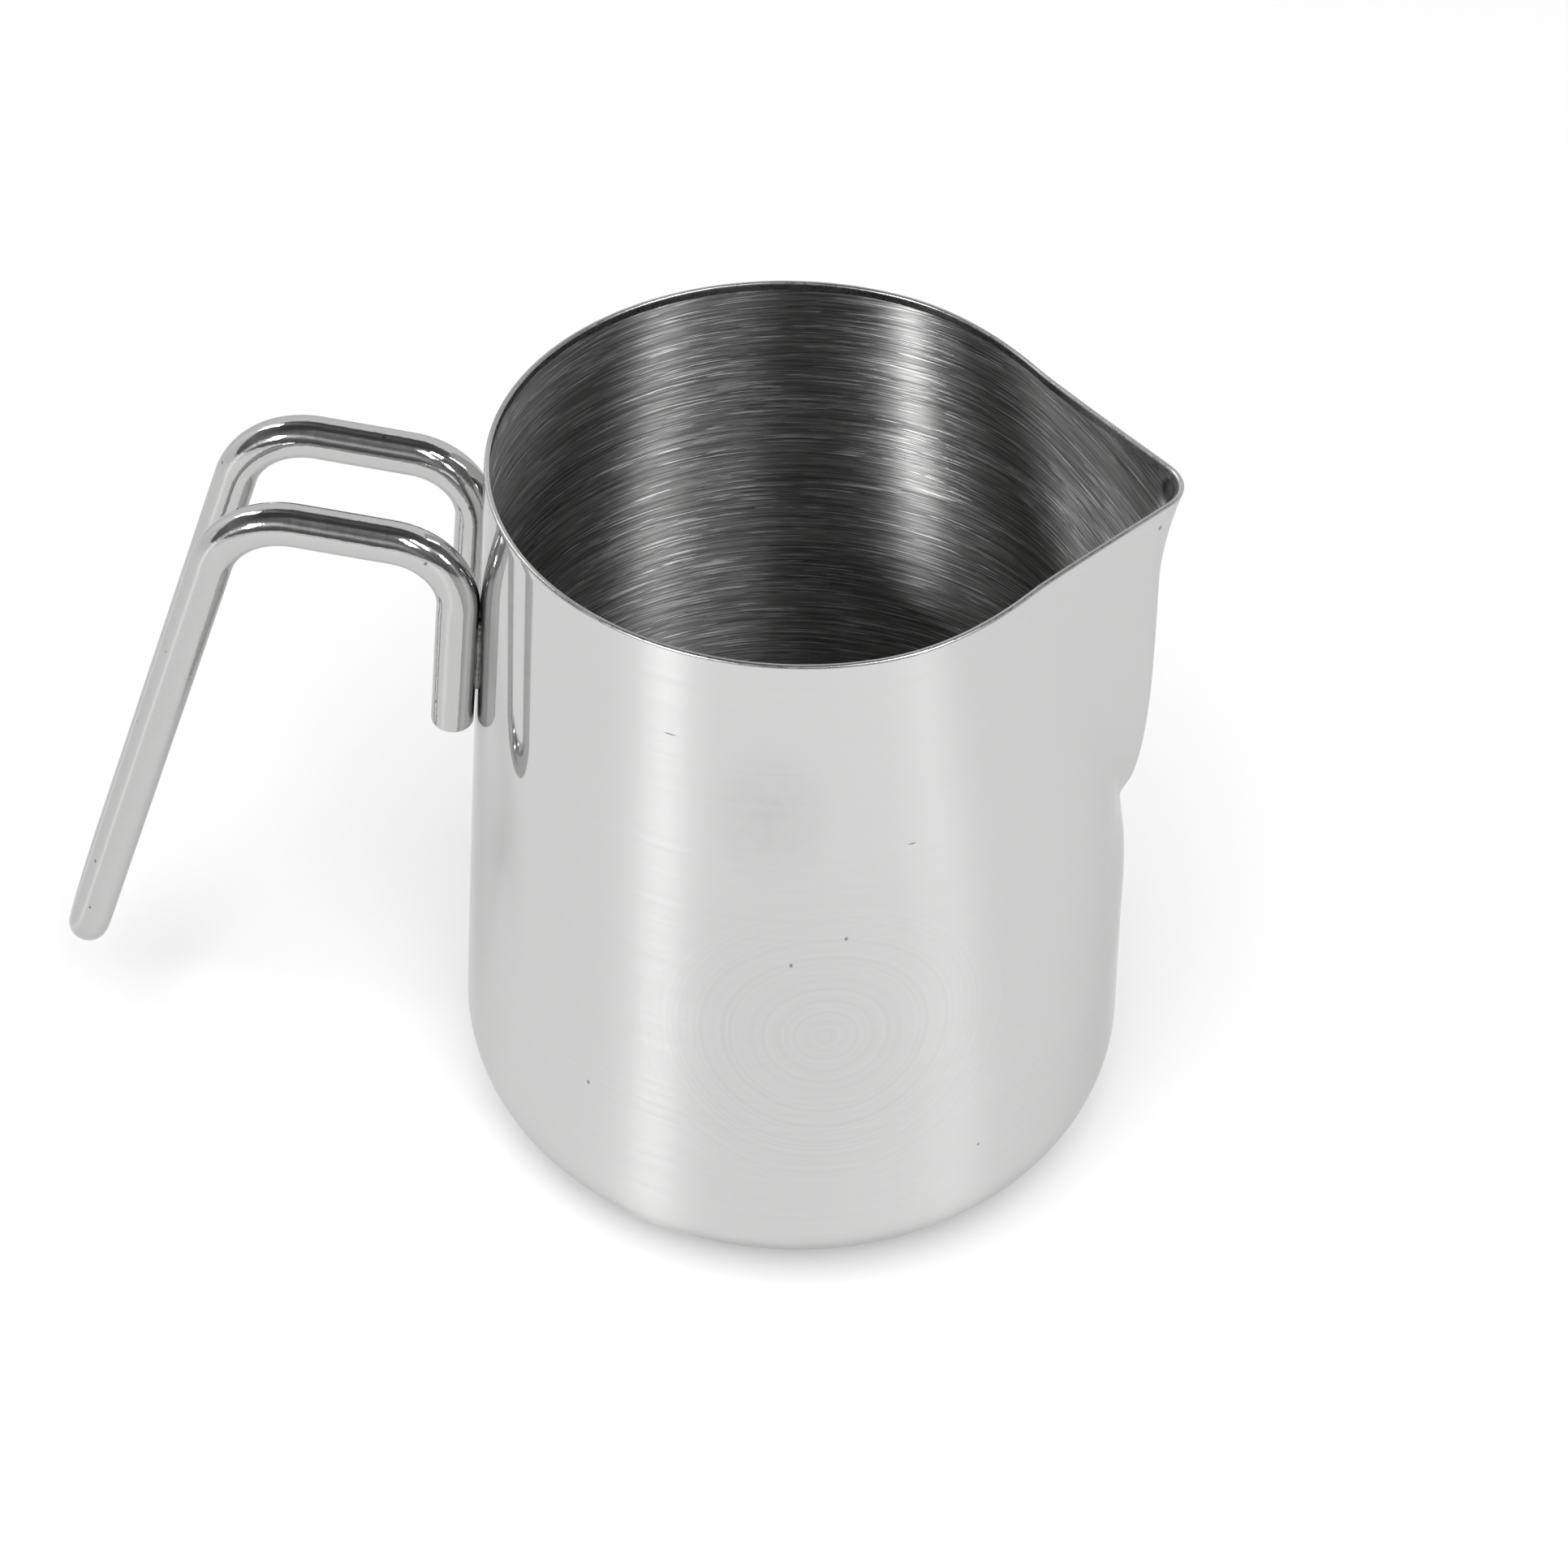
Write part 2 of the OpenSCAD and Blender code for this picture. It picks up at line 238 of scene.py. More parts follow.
def make_vessel():
    """The vessel as one closed skin: under the recess, out and up the wall, over the rim and down the inside."""
    t = np.arange(BODY_POINTS) * (2 * math.pi / BODY_POINTS)
    # points are closer together round the lip
    a = t - 0.5 * np.sin(t)
    a = np.where(a > math.pi, a - 2 * math.pi, a)
    lean = math.atan(float(wall_r(CORNER_R - 0.5) - wall_r(CORNER_R + 0.5)))
    core_r = float(wall_r(CORNER_R)) - CORNER_R / math.cos(lean)
    rows, part = [], []

    def add(points, side):
        rows.append(points)
        part.append(side)

    def add_wall(z, depth, side):
        blend = float(smooth((z - SPLIT_Z) / 10.0))
        plain = round_points(a, float(wall_r(z)) - depth, z)
        add(plain * (1 - blend) + wall_points(a, z, depth) * blend, side)

    # underside, from its middle out to the standing ring
    recess_end = RECESS_R + RECESS_SLOPE
    middle = (2, 8, 16, 23, 27)
    for r in middle:
        add(round_points(a, r, RECESS_H), OUTSIDE)
    for k in range(1, RECESS_STEPS):
        u = k / RECESS_STEPS
        r = RECESS_R - 1 + u * (RECESS_SLOPE + 2)
        add(round_points(a, r, RECESS_H * (1 - float(smooth(u)))), OUTSIDE)
    for r in (recess_end + 1, recess_end + 2.5, core_r):
        add(round_points(a, r, 0), OUTSIDE)
    # rounded corner
    for k in range(1, CORNER_STEPS + 1):
        w = (math.pi / 2 + lean) * k / CORNER_STEPS
        add(round_points(a, core_r + CORNER_R * math.sin(w), CORNER_R - CORNER_R * math.cos(w)), OUTSIDE)
    # outside wall
    tangent_z = CORNER_R + CORNER_R * math.sin(lean)
    low = list(np.linspace(tangent_z, SPLIT_Z, 9)[1:-1])
    for z in low:
        add(round_points(a, float(wall_r(z)), z), OUTSIDE)
    belly = list(np.linspace(SPLIT_Z, PINCH_Z - 6, 14))
    heights = belly + list(np.linspace(PINCH_Z - 6, BODY_H - RIM_ROUND, 62)[1:])
    for z in heights:
        add_wall(z, 0.0, OUTSIDE)
    # ground and rounded rim
    for k in range(1, RIM_STEPS + 1):
        w = math.pi / 2 * k / RIM_STEPS
        z = BODY_H - RIM_ROUND + RIM_ROUND * math.sin(w)
        add(wall_points(a, z, RIM_ROUND - RIM_ROUND * math.cos(w)), RIM)
    for k in range(0, RIM_STEPS + 1):
        w = math.pi / 2 * k / RIM_STEPS
        z = BODY_H - RIM_ROUND + RIM_ROUND * math.cos(w)
        add(wall_points(a, z, SHEET_T - RIM_ROUND + RIM_ROUND * math.sin(w)), RIM)
    # inside wall, corner and floor
    for z in heights[::-1][1:]:
        add_wall(z, SHEET_T, INSIDE)
    for z in low[::-1]:
        add(round_points(a, float(wall_r(z)) - SHEET_T, z), INSIDE)
    inner = CORNER_R - SHEET_T
    for k in range(CORNER_STEPS, 0, -1):
        w = (math.pi / 2 + lean) * k / CORNER_STEPS
        add(round_points(a, core_r + inner * math.sin(w), CORNER_R - inner * math.cos(w)), INSIDE)
    for r in (core_r, recess_end + 2.5, recess_end + 1.3):
        add(round_points(a, r, SHEET_T), INSIDE)
    for k in range(RECESS_STEPS - 1, 0, -1):
        u = k / RECESS_STEPS
        r = RECESS_R - 0.7 + u * (RECESS_SLOPE + 2)
        add(round_points(a, r, SHEET_T + RECESS_H * (1 - float(smooth(u)))), INSIDE)
    for r in middle[::-1]:
        add(round_points(a, r, SHEET_T + RECESS_H), INSIDE)
    verts = np.concatenate(rows + [[[0, 0, RECESS_H]], [[0, 0, SHEET_T + RECESS_H]]])
    kind = []
    for below, above in zip(part[:-1], part[1:]):
        kind += [RIM if RIM in (below, above) else above] * BODY_POINTS
    kind += [OUTSIDE, INSIDE] * BODY_POINTS
    return build_mesh("pitcher_vessel", verts, tube_faces(len(rows), BODY_POINTS), kind)


# ---------------------------------------------------------------- handle shape

ROD_R, ROD_Y = ROD_D / 2, ROD_GAP / 2
TOUCH_X = -math.sqrt((float(wall_r(TOUCH_Z)) + ROD_R) ** 2 - ROD_Y**2)
FREE_X = -math.sqrt((float(wall_r(STUB_Z)) + ROD_R + STUB_GAP) ** 2 - ROD_Y**2)
STUB_LEAN = (TOUCH_X - FREE_X) / (TOUCH_Z - STUB_Z)
PATH_STEP = 1.5
BEND_OVAL, END_DOME = 0.012, 0.05


def unit_vec(v):
    """The vector at length 1."""
    v = np.asarray(v, float)
    return v / np.linalg.norm(v)


def fillet(p, c, q, r):
    """A rounded corner at c on the way from p to q: where it starts, its points, and where it stops."""
    d0, d1 = unit_vec(c - p), unit_vec(q - c)
    turn = math.acos(float(np.clip(d0 @ d1, -1, 1)))
    cut = r * math.tan(turn / 2)
    start, stop = c - d0 * cut, c + d1 * cut
    side = np.array([-d0[1], d0[0]])
    if side @ d1 < 0:
        side = -side
    mid = start + side * r
    angles = [turn * k / BEND_STEPS for k in range(1, BEND_STEPS)]
    return start, [mid - side * r * math.cos(w) + d0 * r * math.sin(w) for w in angles], stop


def rod_path():
    """The rod's middle line from one cut end to the other, with its bends, and the turn at each point."""
    end = np.array([FREE_X, STUB_Z])
    elbow = np.array([FREE_X + STUB_LEAN * (ARM_Z - STUB_Z), ARM_Z])
    knee, heel = np.array(KNEE), np.array(HEEL)
    pts, bent = [], []

    def line(p, q):
        m = max(int(np.linalg.norm(q - p) / PATH_STEP), 2)
        pts.extend(p + (q - p) * u for u in np.linspace(0, 1, m + 1))
        bent.extend([0.0] * (m + 1))

    def bend(arc):
        pts.extend(arc)
        bent.extend([1.0] * len(arc))

    in_start, in_arc, in_stop = fillet(end, elbow, knee, BEND_IN)
    out_start, out_arc, out_stop = fillet(elbow, knee, heel, BEND_OUT)
    line(end, in_start)
    bend(in_arc)
    line(in_stop, out_start)
    bend(out_arc)
    line(out_stop, heel)
    half = [np.array([p[0], ROD_Y, p[1]]) for p in pts]
    down = unit_vec(heel - knee)
    loop = []
    for k in range(1, LOOP_STEPS):
        w = math.pi * k / LOOP_STEPS
        along = ROD_Y * math.sin(w)
        loop.append(np.array([heel[0] + down[0] * along, ROD_Y * math.cos(w), heel[1] + down[1] * along]))
    other = [np.array([p[0], -p[1], p[2]]) for p in half[::-1]]
    path = np.array(half + loop + other)
    bends = np.array(bent + [1.0] * len(loop) + bent[::-1])
    keep = np.concatenate([[True], np.linalg.norm(np.diff(path, axis=0), axis=1) > 1e-6])
    return path[keep], bends[keep]


def make_handle():
    """The rod as one closed tube along its path, with rounded cut ends."""
    path, bends = rod_path()
    m = ROD_POINTS
    tang = np.gradient(path, axis=0)
    tang /= np.linalg.norm(tang, axis=1)[:, None]
    curve = np.gradient(tang, axis=0)
    soft = np.convolve(np.pad(bends, 4, mode="edge"), np.ones(9) / 9, "valid")
    normal = np.array([1.0, 0.0, 0.0])
    rows = []
    ang = np.arange(m) * 2 * math.pi / m
    for i, p in enumerate(path):
        normal = unit_vec(normal - tang[i] * (normal @ tang[i]))
        side = np.cross(tang[i], normal)
        size = np.linalg.norm(curve[i])
        # a drawn rod goes very slightly oval where it is bent
        squash = np.zeros(3) if size < 1e-4 else curve[i] / size
        off = ROD_R * (np.cos(ang)[:, None] * normal + np.sin(ang)[:, None] * side)
        rows.append(p + off - BEND_OVAL * soft[i] * (off @ squash)[:, None] * squash)

    def cap(ring, p, d):
        """Rings of a rounded edge and slightly domed face at a cut end, and the middle of that face."""
        spokes = (ring - p) / ROD_R
        out = []
        for k in range(END_STEPS + 1):
            w = math.pi / 2 * k / END_STEPS
            r = ROD_R - END_ROUND + END_ROUND * math.cos(w)
            out.append(p + spokes * r + d * (END_ROUND * math.sin(w) - END_ROUND))
        for r in (ROD_R - END_ROUND - 0.4, 1.4, 0.6):
            out.append(p + spokes * r + d * END_DOME * (1 - r / ROD_R))
        return out, p + d * END_DOME

    head, head_mid = cap(rows[0], path[0], -tang[0])
    tail, tail_mid = cap(rows[-1], path[-1], tang[-1])
    from_ends = np.minimum(np.linalg.norm(path - path[0], axis=1), np.linalg.norm(path - path[-1], axis=1))
    body = [ring for ring, gap in zip(rows, from_ends) if gap > END_ROUND + 0.1]
    rows = head[::-1] + body + tail
    verts = np.concatenate(rows + [[head_mid], [tail_mid]])
    obj = build_mesh("handle_rod", verts, tube_faces(len(rows), m))
    # the length along the rod, in metres, and the turn round it, for the buffing lines
    mids = np.array([np.mean(ring, axis=0) for ring in rows])
    length = np.concatenate([[0.0], np.cumsum(np.linalg.norm(np.diff(mids, axis=0), axis=1))]) / 1000
    along = obj.data.uv_layers.new(name="along")
    for face in obj.data.polygons:
        turns = [v % m for v in face.vertices]
        wraps = 0 in turns and m - 1 in turns
        for loop, v, t in zip(face.loop_indices, face.vertices, turns):
            row = v // m if v < len(rows) * m else (0 if v == len(verts) - 2 else len(rows) - 1)
            along.data[loop].uv = (length[row], (t + m if wraps and t == 0 else t) / m)
    face_outwards(obj)
    return obj


def face_outwards(obj):
    """Turns every face's normal outwards."""
    bm = bmesh.new()
    bm.from_mesh(obj.data)
    bmesh.ops.recalc_face_normals(bm, faces=bm.faces)
    bm.to_mesh(obj.data)
    bm.free()


def make_weld(name, side):
    """A row of overlapping beads of weld metal in the gap between one rod and the wall."""
    rows = []
    steps = WELD_BEADS * BEAD_STEPS
    for k in range(steps + 1):
        u = k / steps
        z = WELD_Z0 + (WELD_Z1 - WELD_Z0) * u
        rod = np.array([FREE_X + STUB_LEAN * (z - STUB_Z), side * ROD_Y])
        out = unit_vec(rod)
        wall = out * float(wall_r(z))
        gap = np.linalg.norm(rod) - ROD_R - float(wall_r(z))
        mid = wall + out * gap / 2
        across = np.array([-out[1], out[0]])
        pulse = abs(math.sin(math.pi * WELD_BEADS * u + 0.6 * math.sin(7.3 * u + side)))
        taper = math.sqrt(max(1 - abs(2 * u - 1) ** 6, 0.02))
        wide = (1.05 + 0.22 * pulse) * taper
        deep = (gap / 2 + 0.25) * taper
        ring = []
        for i in range(WELD_POINTS):
            w = 2 * math.pi * i / WELD_POINTS
            c, s = math.cos(w), math.sin(w)
            # wide and flat, hollow towards both surfaces, proud at its two open edges
            p = mid + across * wide * math.copysign(abs(c) ** 0.8, c) + out * (deep * s * (1 + 0.6 * abs(c)))
            ring.append([p[0], p[1], z + 0.25 * abs(c)])
        rows.append(ring)
    verts = np.array([p for ring in rows for p in ring] + [np.mean(rows[0], 0), np.mean(rows[-1], 0)])
    obj = build_mesh(name, verts, tube_faces(len(rows), WELD_POINTS))
    face_outwards(obj)
    return obj


# ---------------------------------------------------------------- materials


def wall_mark(angle, height, flat=1.0):
    """A point on the outside wall in metres, its height flattened for an upright or lying mark."""
    a = math.radians(angle)
    r = float(sample(np.array([a]), height)[0])
    return Vector((r * math.cos(a), r * math.sin(a), height * flat)) * MM


class Nodes:
    """Short calls for building one node tree."""

    def __init__(self, tree):
        self.tree = tree
        tree.nodes.clear()

    def link(self, a, b):
        self.tree.links.new(a, b)

    def put(self, node, socket, value):
        s = node.inputs[socket]
        if hasattr(value, "links"):
            self.link(value, s)
        else:
            s.default_value = value

    def new(self, kind, props=None, **inputs):
        node = self.tree.nodes.new(kind)
        for k, v in (props or {}).items():
            setattr(node, k, v)
        for k, v in inputs.items():
            self.put(node, k, v)
        return node

    def where(self):
        return self.new("ShaderNodeTexCoord").outputs["Object"]

    def scaled(self, vec, scale, turn=(0, 0, 0)):
        return self.new("ShaderNodeMapping", Vector=vec, Scale=scale, Rotation=turn).outputs[0]

    def noise(self, vec, scale, detail, rough):
        n = self.new("ShaderNodeTexNoise", Vector=vec, Scale=scale, Detail=detail, Roughness=rough)
        return n.outputs["Fac"]

    def stretched(self, vec, scale, detail, rough, turn=(0, 0, 0)):
        """Noise with its own scale along each axis."""
        return self.noise(self.scaled(vec, scale, turn), 1.0, detail, rough)

    def math(self, op, a, b, c=0.0):
        n = self.new("ShaderNodeMath", {"operation": op})
        for i, v in enumerate((a, b, c)):
            self.put(n, i, v)
        return n.outputs[0]

    def remap(self, v, a, b, c, d):
        n = self.new("ShaderNodeMapRange", {"clamp": True})
        for i, x in enumerate((v, a, b, c, d)):
            self.put(n, i, x)
        return n.outputs[0]

    def mix(self, fac, a, b):
        n = self.new("ShaderNodeMix", {"data_type": "RGBA"})
        self.put(n, 0, fac)
        self.put(n, 6, a)
        self.put(n, 7, b)
        return n.outputs[2]

    def bump(self, height, strength, distance, normal=None):
        n = self.new("ShaderNodeBump", Height=height, Strength=strength, Distance=distance)
        if normal is not None:
            self.put(n, "Normal", normal)
        return n.outputs[0]

    def specks(self, vec, scale, size):
        """1 inside a few tiny scattered spots, one at most in each cell of the pattern."""
        n = self.new("ShaderNodeTexVoronoi", Vector=vec, Scale=scale)
        return self.math("LESS_THAN", n.outputs["Distance"], size)

    def turned(self, vec):
        """The point with part of its distance from the axis added to its height.

        Lines of equal height then run as lathe rings on the wall and on the floor alike.
        """
        xyz = self.new("ShaderNodeSeparateXYZ", Vector=vec)
        far = self.new("ShaderNodeVectorMath", {"operation": "LENGTH"})
        self.put(far, 0, self.scaled(vec, (1, 1, 0)))
        height = self.math("MULTIPLY_ADD", far.outputs["Value"], RING_SLOPE, xyz.outputs["Z"])
        return self.new("ShaderNodeCombineXYZ", X=xyz.outputs["X"], Y=xyz.outputs["Y"], Z=height).outputs[0]

    def distance(self, vec, point):
        n = self.new("ShaderNodeVectorMath", {"operation": "DISTANCE"})
        self.put(n, 0, vec)
        self.put(n, 1, point)
        return n.outputs["Value"]

    def spot(self, vec, angle, height, size, flat=1.0, soft=0.4):
        """1 inside one mark on the wall, size millimetres from its middle to its edge, flattened in height."""
        far = self.distance(self.scaled(vec, (1, 1, flat)), wall_mark(angle, height, flat))
        return self.remap(far, size * MM * (1 - soft), size * MM, 1.0, 0.0)

    def ripples(self, vec, angle, height, scale):
        """Coordinates that change only with the distance from one point on the wall."""
        far = self.math("MULTIPLY", self.distance(vec, wall_mark(angle, height)), scale)
        return self.new("ShaderNodeCombineXYZ", X=far).outputs[0]


class Material(Nodes):
    """A material that starts as one Principled shader."""

    def __init__(self, name):
        self.mat = bpy.data.materials.new(name)
        self.mat.use_nodes = True
        super().__init__(self.mat.node_tree)
        self.out = self.new("ShaderNodeOutputMaterial")
        self.bsdf = self.new("ShaderNodeBsdfPrincipled")
        self.link(self.bsdf.outputs[0], self.out.inputs[0])

    def steel(self, colour, rough, bsdf=None):
        bsdf = bsdf or self.bsdf
        self.put(bsdf, "Base Color", colour)
        self.put(bsdf, "Metallic", 1.0)
        self.put(bsdf, "Specular Tint", EDGE_TINT)
        self.put(bsdf, "Roughness", rough)

    def brushed(self, bsdf, tangent=None, turn=0.25):
        """Spreads highlights across fine lines, which run round the pitcher's axis unless a tangent is given."""
        tangent = tangent or self.new("ShaderNodeTangent", {"direction_type": "RADIAL", "axis": "Z"})
        self.put(bsdf, "Anisotropic", 1.0)
        self.put(bsdf, "Anisotropic Rotation", turn)
        self.put(bsdf, "Tangent", tangent.outputs[0])

    def lined(self, share, colour, rough, normal, tangent=None, turn=0.25):
        """Gives part of the polished surface to lines too fine to see one by one."""
        lines = self.new("ShaderNodeBsdfPrincipled")
        self.steel(colour, rough, lines)
        self.brushed(lines, tangent, turn)
        self.put(lines, "Normal", normal)
        self.put(self.bsdf, "Normal", normal)
        both = self.new("ShaderNodeMixShader")
        self.put(both, 0, share)
        self.link(self.bsdf.outputs[0], both.inputs[1])
        self.link(lines.outputs[0], both.inputs[2])
        self.link(both.outputs[0], self.out.inputs[0])


RING_SLOPE = 0.6
EDGE_TINT = (0.76, 0.76, 0.76, 1)
POLISH_DARK, POLISH_LIGHT = (0.605, 0.605, 0.602, 1), (0.625, 0.625, 0.622, 1)
# The near-black colour on the next line is painted shade for inside the lip's tip.
# The very dark nick colour on the next line also paints the shade of the dimple at the lip's pinch.
SMEAR, NICK_AND_PINCH_SHADE, SPOUT_TIP_SHADE = (0.36, 0.36, 0.357, 1), (0.15, 0.15, 0.146, 1), (0.03, 0.03, 0.03, 1)
BRUSH_DARK, BRUSH_LIGHT, STROKE = (0.23, 0.23, 0.228, 1), (0.56, 0.56, 0.556, 1), (0.92, 0.92, 0.915, 1)
RIM_DARK, RIM_LIGHT = (0.34, 0.34, 0.338, 1), (0.52, 0.52, 0.516, 1)
ROD_DARK, ROD_LIGHT, PIT = (0.50, 0.50, 0.497, 1), (0.53, 0.53, 0.526, 1), (0.20, 0.20, 0.198, 1)
WELD_DARK, WELD_LIGHT = (0.20, 0.195, 0.19, 1), (0.42, 0.41, 0.40, 1)

# small marks on the outside, and the painted shade of the dimple at the lip's pinch (the last entry), each by angle
# round the body, height, size and flattening
NICKS_AND_PINCH_SHADE = (
    (-5.9, 110.7, 0.42, 0.8),
    (-79.2, 69.4, 0.30, 0.8),
    (-88.3, 64.9, 0.26, 0.6),
    (-123.5, 32.3, 0.32, 0.7),
    (-53.9, 23.4, 0.28, 1.0),
    (-110.9, 100.9, 1.0, 7.0),
    (-68.0, 84.0, 0.7, 5.0),
    (112.0, 61.0, 0.4, 0.8),
    (74.0, 88.0, 0.9, 6.0),
    (160.0, 40.0, 0.35, 0.7),
    # painted shade with a slight dent: the dimple at the pinch below the lip's nose
    (-3.0, 57.4, 0.55, 0.8),
)
# angle and height of the wiped smear, of the middle of the polishing arcs, of their patch, and of the painted shade
# inside the lip's tip
SMEAR_AT, ARCS_AT, PATCH_AT, SPOUT_TIP_SHADE_AT = (-93.0, 90.5), (-82.0, 52.0), (-82.0, 46.0), (2.5, 111.6)


def polished_outside():
    """Mirror polish over very fine lathe lines, with faint polishing arcs, a few nicks, painted shade in the dimple
    at the lip's pinch, and a wiped smear.
    """
    n = Material("polished_steel")
    p = n.where()
    patch = n.noise(p, 28.0, 3.0, 0.6)
    rings = n.stretched(n.turned(p), (5, 5, 1100), 3.0, 0.6)
    rubbed = n.math("MULTIPLY", n.spot(p, *SMEAR_AT, 9.0, 0.7, 0.9), n.noise(p, 500.0, 4.0, 0.75))
    arcs = n.remap(n.noise(n.ripples(p, *ARCS_AT, 1300.0), 1.0, 2.0, 0.6), 0.42, 0.62, 0.0, 0.11)
    near = n.spot(p, *PATCH_AT, 42.0, 1.0, 0.7)
    nicks_and_pinch_shade = n.spot(p, *NICKS_AND_PINCH_SHADE[0])
    for listed_mark in NICKS_AND_PINCH_SHADE[1:]:
        nicks_and_pinch_shade = n.math("MAXIMUM", nicks_and_pinch_shade, n.spot(p, *listed_mark))
    tone = n.mix(n.remap(rings, 0.3, 0.7, 0.0, 1.0), POLISH_DARK, POLISH_LIGHT)
    tone = n.mix(n.math("MULTIPLY", near, arcs), tone, SMEAR)
    tone = n.mix(n.math("MULTIPLY", rubbed, 0.40), tone, SMEAR)
    # this dark tone paints the nicks and also the shade of the pinch dimple
    tone = n.mix(n.math("MULTIPLY", nicks_and_pinch_shade, 0.75), tone, NICK_AND_PINCH_SHADE)
    n.steel(tone, n.math("MULTIPLY_ADD", rubbed, 0.22, n.remap(patch, 0.35, 0.7, 0.03, 0.075)))
    bump = n.bump(n.math("SUBTRACT", 1.0, nicks_and_pinch_shade), 0.5, 0.00004, n.bump(rings, 0.05, 0.000008))
    n.lined(n.remap(rings, 0.3, 0.7, 0.14, 0.185), tone, 0.42, bump)
    return n.mat


def brushed_inside():
    """Inside brushed round and round: fine crisp strokes, short bright ones among them, and a near-black spot of
    painted shade inside the lip's tip.
    """
    n = Material("brushed_steel")
    p = n.turned(n.where())
    fine = n.stretched(p, (60, 60, 4400), 2.0, 0.7, (0.02, 0.01, 0))
    broad = n.stretched(p, (25, 25, 1100), 2.0, 0.6)
    bright = n.stretched(p, (95, 95, 4600), 2.0, 0.6, (0.04, -0.03, 0))
    stray = n.stretched(p, (80, 80, 3000), 1.0, 0.5, (0.20, -0.12, 0))
    mark = n.math("MAXIMUM", n.remap(bright, 0.61, 0.635, 0.0, 1.0), n.remap(stray, 0.69, 0.72, 0.0, 0.9))
    tone = n.mix(n.remap(fine, 0.38, 0.62, 0.0, 1.0), BRUSH_DARK, BRUSH_LIGHT)
    tone = n.mix(mark, tone, STROKE)
    # painted shade: a near-black spot inside the lip's narrow tip
    tone = n.mix(n.math("MULTIPLY", n.spot(n.where(), *SPOUT_TIP_SHADE_AT, 2.5, 1.0, 0.3), 0.85), tone, SPOUT_TIP_SHADE)
    n.steel(tone, n.math("ADD", n.remap(broad, 0.3, 0.7, 0.375, 0.40), n.math("MULTIPLY", mark, 0.05)))
    n.brushed(n.bsdf)
    n.put(n.bsdf, "Normal", n.bump(mark, 0.2, 0.00005, n.bump(fine, 0.3, 0.00004)))
    return n.mat


def ground_rim():
    """The cut rim: ground dull, a little brighter where it has been rubbed."""
    n = Material("ground_rim")
    p = n.where()
    grit = n.stretched(p, (900, 900, 900), 3.0, 0.7)
    worn = n.noise(p, 45.0, 3.0, 0.6)
    n.steel(n.mix(n.remap(worn, 0.35, 0.7, 0.0, 1.0), RIM_DARK, RIM_LIGHT), n.remap(grit, 0.3, 0.7, 0.22, 0.40))
    n.put(n.bsdf, "Normal", n.bump(grit, 0.1, 0.00004))
    return n.mat


def polished_rod():
    """Bent and buffed rod: small waves and pits left by bending, fine buffing lines round it, soft patches."""
    n = Material("rod_steel")
    p = n.where()
    patch = n.noise(p, 60.0, 3.0, 0.6)
    waves = n.noise(p, 420.0, 4.0, 0.65)
    along = n.new("ShaderNodeUVMap", {"uv_map": "along"}).outputs[0]
    buffed = n.stretched(along, (2600, 5, 1), 3.0, 0.6)
    tone = n.mix(n.remap(buffed, 0.3, 0.7, 0.0, 1.0), ROD_DARK, ROD_LIGHT)
    tone = n.mix(n.specks(p, 260.0, 0.07), tone, PIT)
    n.steel(tone, n.remap(patch, 0.35, 0.7, 0.03, 0.08))
    tangent = n.new("ShaderNodeTangent", {"direction_type": "UV_MAP", "uv_map": "along"})
    n.lined(n.remap(buffed, 0.35, 0.65, 0.10, 0.16), tone, 0.34, n.bump(waves, 0.6, 0.00007), tangent, 0.0)
    return n.mat


def weld_metal():
    """Weld metal: dull, with the straw and grey tint that heat leaves."""
    n = Material("weld_metal")
    spots = n.noise(n.where(), 420.0, 4.0, 0.6)
    n.steel(n.mix(n.remap(spots, 0.35, 0.65, 0.0, 1.0), WELD_DARK, WELD_LIGHT), n.remap(spots, 0.3, 0.7, 0.28, 0.5))
    n.put(n.bsdf, "Normal", n.bump(spots, 0.4, 0.0002))
    return n.mat


# ---------------------------------------------------------------- pieces

vessel = make_vessel()
# in the order of the material slots
for material in (polished_outside(), brushed_inside(), ground_rim()):
    vessel.data.materials.append(material)
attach(vessel, "root")
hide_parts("vessel")

handle = make_handle()
handle.data.materials.append(polished_rod())
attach(handle, "root")
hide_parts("handle")

weld_mat = weld_metal()
for name, side, node in (("weld_beads_near", -1, "weld_near"), ("weld_beads_far", 1, "weld_far")):
    weld = make_weld(name, side)
    weld.data.materials.append(weld_mat)
    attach(weld, "root")
    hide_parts(node)

# ---------------------------------------------------------------- floor, light, camera

FLOOR_R, FLOOR_POINTS = 1.25, 96
FLOOR_GREY, FLOOR_GLOW = (0.66, 0.66, 0.66, 1), 0.245
# the dark room by the height of a direction: a pale line at floor level, and a glow part of the way up
ROOM = ((0.085, 0.10), (0.25, 0.12), (0.50, 0.22), (0.72, 0.14), (0.88, 0.06))
ROOM_LOW, ROOM_HIGH = (0.045, 0.95), (1.0, 0.06)
# the pale sweep standing round the back of the pitcher, its top edge 53 degrees up behind and 17 at the sides
SWEEP_GREY, SWEEP_LEAN, SWEEP_EDGE = (0.95, 0.95, 0.95, 1), -0.84, (0.25, 0.34)
# name, azimuth, elevation, distance, size, power, whether it lights the floor, whether the steel mirrors it
LIGHTS = (
    ("soft_left", -39.5, 31, 2.2, (0.38, 0.50), 33.0, False, True),
    ("soft_right", 60, 48, 2.2, (0.30, 1.20), 23.0, False, True),
    ("soft_fill", 30, 52, 2.2, (0.40, 1.00), 3.6, True, True),
    ("soft_side", -120, 42, 2.2, (0.36, 0.80), 9.0, False, True),
    ("soft_top", -6, 67.5, 2.0, (2.3, 2.0), 55.0, True, False),
)
LIGHT_AIM_Z = 0.05


